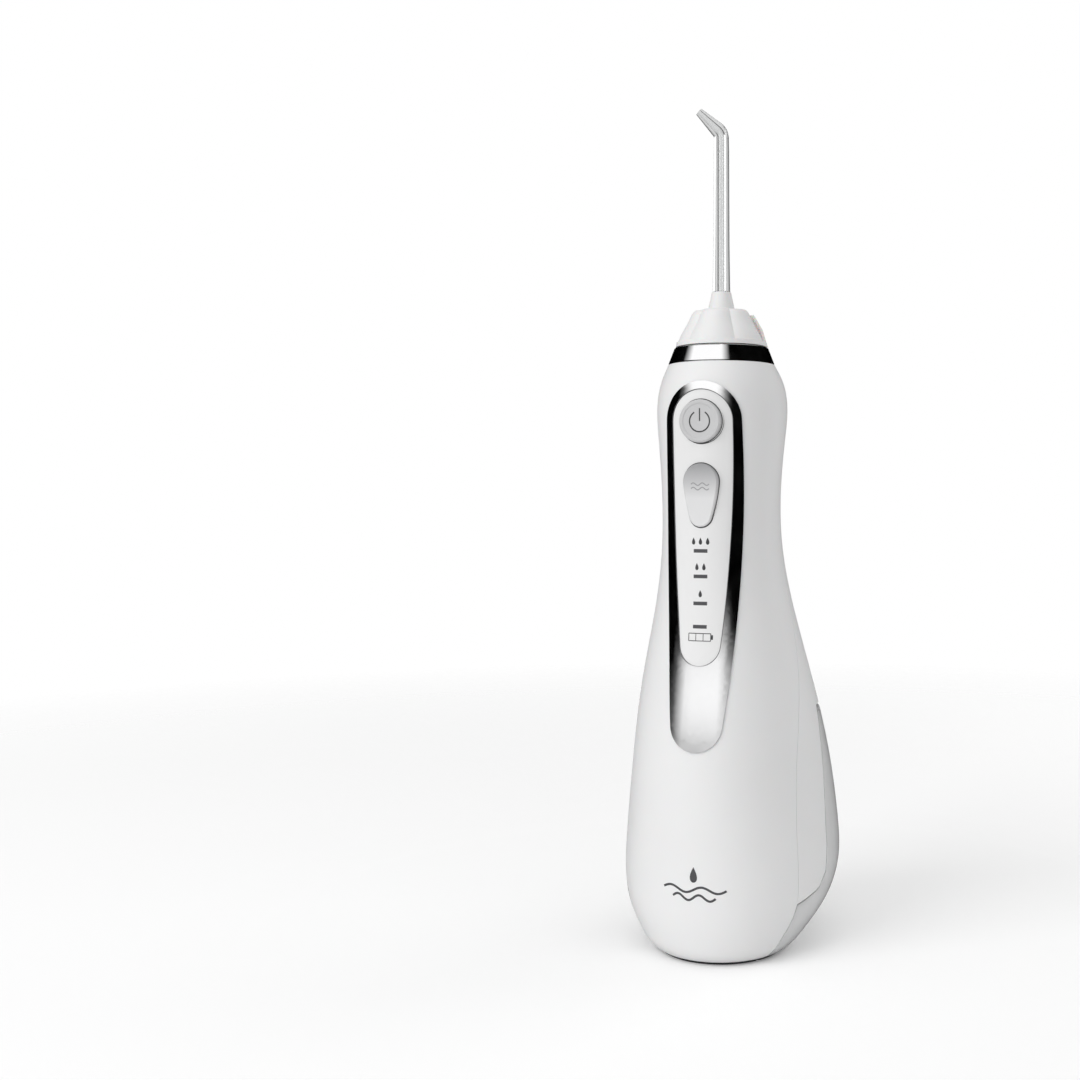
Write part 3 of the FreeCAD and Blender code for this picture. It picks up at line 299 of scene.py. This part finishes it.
def add_ribbon(shape, tree, line, width, lift):
    """Thin raised strip of even width along a line drawn in x and z."""
    rows = []
    for i, (x, z) in enumerate(line):
        before, after = line[max(i - 1, 0)], line[min(i + 1, len(line) - 1)]
        along = Vector((after[0] - before[0], after[1] - before[1])).normalized()
        side = Vector((-along.y, along.x)) * width / 2
        corners = []
        for sign in (1, -1):
            across, up = x + sign * side.x, z + sign * side.y
            corners += [onto(tree, across, up, lift), onto(tree, across, up, -SINK)]
        rows.append([shape.verts.new(c) for c in (corners[0], corners[2], corners[3], corners[1])])
    wrap(shape, rows, closed=False)


def add_patch(shape, tree, outline, lift):
    """Thin raised patch inside an outline drawn in x and z, fanned from its middle."""
    middle = (sum(p[0] for p in outline) / len(outline), sum(p[1] for p in outline) / len(outline))
    layers = []
    for height in (lift, -SINK):
        ring = [shape.verts.new(onto(tree, x, z, height)) for x, z in outline]
        centre = shape.verts.new(onto(tree, *middle, height))
        for i, vert in enumerate(ring):
            shape.faces.new((vert, ring[(i + 1) % len(ring)], centre))
        layers.append(ring)
    top, low = layers
    for i in range(len(top)):
        k = (i + 1) % len(top)
        shape.faces.new((top[i], low[i], low[k], top[k]))


def add_gap_and_shadow_cord(shape, tree, line, middle, thick, shade):
    """Closed square cord laid outwards from a gap: a dark gap line, widened into painted shadow on
    the side away from the key light.
    """
    rows = []
    for x, z in line:
        out = Vector((x - middle[0], z - middle[1])).normalized()
        beyond_gap = out * 0.6 * MM
        face_y = onto(tree, x + beyond_gap.x, z + beyond_gap.y, 0.0).y - PRINT_LIFT
        # painted shadow: the cord is widest on the side away from the key light
        wide = thick + shade * max(0.0, out.dot(SHADE_SIDE))
        row = []
        for across, deep in ((0.0, 0.0), (wide, 0.0), (wide, thick), (0.0, thick)):
            row.append(shape.verts.new((x + across * out.x, face_y + deep, z + across * out.y)))
        rows.append(row)
    wrap(shape, rows, closed=True)


def add_inner_shadow_line(shape, tree, line, spine, thick):
    """Closed square cord just inside an outline, laid as a painted shadow line; spine is its x and
    its lowest and highest z.
    """
    middle_x, low, top = spine
    rows = []
    for x, z in line:
        inward = Vector((middle_x - x, min(max(z, low), top) - z)).normalized()
        face_y = onto(tree, x + 0.3 * MM * inward.x, z + 0.3 * MM * inward.y, 0.0).y - RIM_LIFT
        row = []
        for across, deep in ((0.0, 0.0), (thick, 0.0), (thick, thick), (0.0, thick)):
            row.append(shape.verts.new((x + across * inward.x, face_y + deep, z + across * inward.y)))
        rows.append(row)
    wrap(shape, rows, closed=True)


def egg_line(middle_x, top_z, top_r, low_z, low_r, side_r, steps=36):
    """Outline of two end arcs joined by two long bowed sides, clockwise from the top."""
    gap, to_top, to_low = top_z - low_z, side_r - top_r, side_r - low_r
    rise = (to_low ** 2 - to_top ** 2 + gap ** 2) / (2 * gap)
    reach = math.sqrt(to_low ** 2 - rise ** 2)
    upper, lower = math.atan2(gap - rise, reach), math.atan2(-rise, reach)
    arcs = (
        (0.0, top_z, top_r, math.pi / 2, upper), (-reach, low_z + rise, side_r, upper, lower),
        (0.0, low_z, low_r, lower, -math.pi - lower),
        (reach, low_z + rise, side_r, math.pi - lower, math.pi - upper),
        (0.0, top_z, top_r, math.pi - upper, math.pi / 2),
    )
    out = []
    for x, z, radius, start, end in arcs:
        for i in range(steps):
            angle = start + (end - start) * i / steps
            out.append((middle_x + x + radius * math.cos(angle), z + radius * math.sin(angle)))
    return out


def circle_line(x, z, radius, start=0.0, end=360.0, steps=40):
    """Points round an arc, angles in degrees measured from the top."""
    out = []
    for i in range(steps + 1):
        angle = math.radians(start + (end - start) * i / steps)
        out.append((x + radius * math.sin(angle), z + radius * math.cos(angle)))
    return out


def wave_line(reach, level, rise, steps):
    """Two periods of a wave from -reach to reach."""
    out = []
    for i in range(steps + 1):
        out.append(((i / steps * 2 - 1) * reach, level + rise * math.sin(i / steps * 4 * math.pi)))
    return out


def drop_outline(x, z, height, steps=28):
    """Water drop with its point upwards."""
    out = []
    for i in range(steps):
        angle = 2 * math.pi * i / steps
        wide = 0.33 * height * math.sin(angle) * (math.sin(angle / 2) ** 1.2)
        out.append((x + wide, z + height / 2 * math.cos(angle)))
    return out


# how far prints stand out of and reach into the surface, and where gaps are in shade
PRINT_LIFT = 0.035 * MM
RIM_LIFT = 0.03 * MM
MARK_LIFT = 0.04 * MM
SINK = 0.1 * MM
SHADE_SIDE = Vector((0.86, -0.51))

led_low, led_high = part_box("led_windows")
LED_X = (led_low.x + led_high.x) / 2
panel_face = surface("control_panel", "led_windows")

# power sign in the dish of the round key
key_low, key_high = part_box("power_button")
key_z = (key_low.z + key_high.z) / 2
key_x = (key_low.x + key_high.x) / 2
key_r = (key_high.x - key_low.x) / 2
key_face = surface("power_button")
sign = bmesh.new()
sign_arc = circle_line(key_x, key_z - 0.1 * MM, 3.55 * MM, 32, 328)
sign_bar = [(key_x, key_z + k * MM) for k in (0.0, 1.4, 2.8, 4.3)]
add_ribbon(sign, key_face, sign_arc, 0.46 * MM, PRINT_LIFT)
add_ribbon(sign, key_face, sign_bar, 0.42 * MM, PRINT_LIFT)
piece("power_sign", sign, "power_key", dark_print_and_shadow)

# dark gaps round the keys, set out from the key's own outlines, widened with painted shadow on their
# lower right side
GAP_OFFSET = 0.07 * MM
GAP_WIDTH = 0.2 * MM
MODE_TOP_R, MODE_LOW_R, MODE_SIDE_R = 6.2 * MM, 4.0 * MM, 60.0 * MM
gap_and_shadow_cords = bmesh.new()
round_gap = circle_line(key_x, key_z, key_r + 0.06 * MM, steps=72)[:-1]
add_gap_and_shadow_cord(gap_and_shadow_cords, panel_face, round_gap, (key_x, key_z), GAP_WIDTH, 0.5 * MM)
mode_gap = egg_line(key_x, mode_high.z - MODE_TOP_R, MODE_TOP_R + GAP_OFFSET, mode_low.z + MODE_LOW_R,
                    MODE_LOW_R + GAP_OFFSET, MODE_SIDE_R)
mode_middle = (key_x, (mode_low.z + mode_high.z) / 2 - 0.9 * MM)
add_gap_and_shadow_cord(gap_and_shadow_cords, panel_face, mode_gap, mode_middle, GAP_WIDTH, 0.3 * MM)
piece("key_gaps_and_shadow", gap_and_shadow_cords, "handle", dark_print_and_shadow)

# painted shadow line along the edge of the panel, where it meets the chrome trim
PANEL_TOP_R, PANEL_LOW_R, PANEL_SIDE_R = 10.82 * MM, 7.32 * MM, 700.0 * MM
panel_top, panel_low = 183.4 * MM, 108.0 * MM
rim = bmesh.new()
panel_line = egg_line(key_x, panel_top, PANEL_TOP_R, panel_low, PANEL_LOW_R, PANEL_SIDE_R)
add_inner_shadow_line(rim, panel_face, panel_line, (key_x, panel_low, panel_top), 0.2 * MM)
piece("panel_edge_shadow", rim, "handle", grey_print_and_shadow)

# two soft waves on the pointed key
wave_face = surface("mode_button")
wave_z = mode_high.z - 8.6 * MM
waves = bmesh.new()
for k in (0, 1):
    line = wave_line(3.2 * MM, wave_z + k * 1.5 * MM, 0.45 * MM, 20)
    add_ribbon(waves, wave_face, line, 0.34 * MM, 0.02 * MM)
piece("mode_sign", waves, "mode_key", mark_grey)

# pressure levels: three, two and one drops over the light bars
drops = bmesh.new()
bar_heights = [139.5, 130.9, 121.8]
for level, count in zip(bar_heights, (3, 2, 1)):
    for k in range(count):
        across = LED_X + (k - (count - 1) / 2) * 2.5 * MM
        add_patch(drops, panel_face, drop_outline(across, (level + 3.3) * MM, 2.4 * MM), PRINT_LIFT)
piece("level_drops", drops, "handle", dark_print_and_shadow)

# charge sign: an outlined cell with two divisions and its terminal
cell = bmesh.new()
cell_z = 110.5 * MM
half_w, half_h = 3.9 * MM, 1.25 * MM
frame_line = [(-half_w, -half_h), (half_w, -half_h), (half_w, half_h), (-half_w, half_h)]
for (ax, az), (bx, bz) in zip(frame_line, frame_line[1:] + frame_line[:1]):
    line = [(LED_X + ax + (bx - ax) * k / 6, cell_z + az + (bz - az) * k / 6) for k in range(7)]
    add_ribbon(cell, panel_face, line, 0.26 * MM, PRINT_LIFT)
for part in (-1, 1):
    line = [(LED_X + part * half_w / 3, cell_z + (k / 4 - 0.5) * 2 * half_h) for k in range(5)]
    add_ribbon(cell, panel_face, line, 0.2 * MM, PRINT_LIFT)
nub = [(LED_X + half_w + 0.45 * MM, cell_z + (k / 3 - 0.5) * 1.5 * MM) for k in range(4)]
add_ribbon(cell, panel_face, nub, 0.6 * MM, PRINT_LIFT)
piece("charge_sign", cell, "handle", dark_print_and_shadow)

# plain wave and drop low on the casing
front_face = surface("front_shell")
mark = bmesh.new()
for reach, level in ((11.0, 27.2), (7.5, 24.6)):
    line = wave_line(reach * MM, level * MM, 0.95 * MM, 48)
    add_ribbon(mark, front_face, line, 0.75 * MM, MARK_LIFT)
add_patch(mark, front_face, drop_outline(0.0, 32.2 * MM, 5.2 * MM), MARK_LIFT)
piece("water_mark", mark, "handle", grey_print_and_shadow)


# ---------------------------------------------------------------- stage

def light(name, bearing, reach, height, target_z, width, power):
    """Soft square light at a bearing from the camera, positive to its right."""
    angle = FRONT_AZIMUTH + math.radians(bearing)
    data = bpy.data.lights.new(name, "AREA")
    data.shape = "RECTANGLE"
    data.size = width
    data.size_y = width
    data.energy = power
    lamp = bpy.data.objects.new(name, data)
    lamp.location = (reach * math.sin(angle), AXIS_Y - reach * math.cos(angle), height)
    aim = Vector((0, AXIS_Y, target_z)) - lamp.location
    lamp.rotation_euler = aim.to_track_quat("-Z", "Y").to_euler()
    lamp.visible_glossy = False
    bpy.context.scene.collection.objects.link(lamp)


def make_camera():
    """Level camera, shifted to put the flosser right of the middle."""
    distance = 0.483
    data = bpy.data.cameras.new("camera")
    data.sensor_width = 36.0
    data.lens = 45.6
    data.shift_x = -0.168
    data.shift_y = -0.0407
    cam = bpy.data.objects.new("camera", data)
    cam.location = (distance * math.sin(FRONT_AZIMUTH), AXIS_Y - distance * math.cos(FRONT_AZIMUTH),
                    0.158)
    cam.rotation_euler = (math.radians(90), 0, FRONT_AZIMUTH)
    bpy.context.scene.collection.objects.link(cam)
    bpy.context.scene.camera = cam


def make_floor():
    """Round white floor that fades out before its edge."""
    radius, fade_start, fade_end = 1.6, 0.16, 0.8
    mesh = bpy.data.meshes.new("floor")
    shape = bmesh.new()
    bmesh.ops.create_circle(shape, cap_ends=True, segments=96, radius=radius)
    shape.to_mesh(mesh)
    shape.free()
    floor = bpy.data.objects.new("floor", mesh)
    bpy.context.scene.collection.objects.link(floor)
    mat, tree, shader = new_material("floor_paper")
    where = object_coordinates(tree)
    paper = [(0.3, grey(0.94)), (0.7, grey(0.95))]
    link(tree, ramp(tree, noise(tree, where, 3.0), paper), shader.inputs["Base Color"])
    shader.inputs["Roughness"].default_value = 0.9
    shader.inputs["Specular IOR Level"].default_value = 0.0
    shader.inputs["Emission Color"].default_value = (1, 1, 1, 1)
    shader.inputs["Emission Strength"].default_value = 0.08
    bump(tree, shader, [(noise(tree, where, 900.0), 0.01)])
    length = tree.nodes.new("ShaderNodeVectorMath")
    length.operation = "LENGTH"
    link(tree, where, length.inputs[0])
    link(tree, spread(tree, length.outputs["Value"], 1.0, 0.0, fade_start, fade_end),
         shader.inputs["Alpha"])
    mesh.materials.append(mat)
    floor.visible_glossy = False


# brightness round the studio by bearing in degrees from the camera, positive to its right:
# a tall softbox on the left, wider near its top, and what shows through clear plastic
SOFTBOX_SIDES = [
    (-180, 0.0), (-82, 0.0), (-73, 0.10), (-65, 0.50), (-56, 0.93), (-46, 1.0),
    (-6, 1.0), (2, 0.74), (10, 0.26), (17, 0.04), (22, 0.0), (180, 0.0),
]
SOFTBOX_HIGH_SIDES = [
    (-180, 0.0), (-102, 0.0), (-90, 0.5), (-80, 1.0), (0, 1.0), (11, 0.5), (22, 0.0), (180, 0.0),
]
SEEN_THROUGH = [
    (-180, 0.82), (-150, 0.76), (-128, 0.30), (-105, 0.02), (-62, 0.02), (-40, 0.6),
    (40, 0.6), (62, 0.02), (105, 0.02), (128, 0.30), (150, 0.76), (180, 0.82),
]
# brightness of the softbox by the height of a ray of length one, fading towards its lower edge
SOFTBOX_HEIGHT = [
    (-0.45, 0.25), (-0.05, 0.53), (0.0, 0.69), (0.05, 0.82), (0.10, 0.90), (0.2, 1.03),
    (0.3, 1.12), (0.5, 1.12),
]
WIDER_FROM, WIDEST_AT = 0.36, 0.54
AMBIENT = 0.52


def math_node(tree, kind, first, second):
    node = tree.nodes.new("ShaderNodeMath")
    node.operation = kind
    for socket, value in zip(node.inputs, (first, second)):
        if isinstance(value, float):
            socket.default_value = value
        else:
            link(tree, value, socket)
    return node.outputs["Value"]


def background(tree, color=None, strength=1.0):
    node = tree.nodes.new("ShaderNodeBackground")
    node.inputs["Color"].default_value = (1, 1, 1, 1)
    node.inputs["Strength"].default_value = strength
    if color is not None:
        link(tree, color, node.inputs["Color"])
    return node


def choose(tree, factor, low, high):
    node = tree.nodes.new("ShaderNodeMixShader")
    link(tree, factor, node.inputs["Fac"])
    link(tree, low.outputs[0], node.inputs[1])
    link(tree, high.outputs[0], node.inputs[2])
    return node


def make_world():
    """White to the camera; separate surroundings for reflections and for clear plastic."""
    world = bpy.data.worlds.new("studio")
    bpy.context.scene.world = world
    world.use_nodes = True
    tree = world.node_tree
    where = tree.nodes.new("ShaderNodeTexCoord").outputs["Generated"]
    turn = tree.nodes.new("ShaderNodeMapping")
    turn.vector_type = "POINT"
    turn.inputs["Rotation"].default_value = (0, 0, -FRONT_AZIMUTH)
    link(tree, where, turn.inputs["Vector"])
    split = tree.nodes.new("ShaderNodeSeparateXYZ")
    link(tree, turn.outputs["Vector"], split.inputs["Vector"])
    towards_camera = math_node(tree, "MULTIPLY", split.outputs["Y"], -1.0)
    bearing = math_node(tree, "ARCTAN2", split.outputs["X"], towards_camera)
    turns = spread(tree, bearing, 0.0, 1.0, -math.pi, math.pi)

    def around(stops):
        return ramp(tree, turns, [((angle + 180) / 360, grey(level)) for angle, level in stops])

    sides = tree.nodes.new("ShaderNodeMix")
    sides.data_type = "RGBA"
    factor, low_color, high_color = sides.inputs[0], sides.inputs[6], sides.inputs[7]
    link(tree, spread(tree, split.outputs["Z"], 0.0, 1.0, WIDER_FROM, WIDEST_AT), factor)
    link(tree, around(SOFTBOX_SIDES), low_color)
    link(tree, around(SOFTBOX_HIGH_SIDES), high_color)
    rise = spread(tree, split.outputs["Z"], 0.0, 1.0, -0.5, 0.5)
    height = ramp(tree, rise, [(0.5 + z, grey(level)) for z, level in SOFTBOX_HEIGHT])
    softbox = math_node(tree, "MULTIPLY", sides.outputs[2], height)

    rays = tree.nodes.new("ShaderNodeLightPath")
    result = choose(tree, rays.outputs["Is Glossy Ray"], background(tree, strength=AMBIENT),
                    background(tree, softbox))
    result = choose(tree, rays.outputs["Is Transmission Ray"], result,
                    background(tree, around(SEEN_THROUGH)))
    result = choose(tree, rays.outputs["Is Camera Ray"], result, background(tree))
    link(tree, result.outputs["Shader"], tree.nodes["World Output"].inputs["Surface"])


make_camera()
make_floor()
make_world()
light("key", -50, 1.3, 0.70, 0.13, 1.0, 10.0)
light("top", 20, 0.25, 1.5, 0.0, 1.2, 4.5)
light("rim", 118, 0.9, 0.30, 0.06, 0.7, 2.2)
bpy.context.scene.view_settings.view_transform = "Standard"
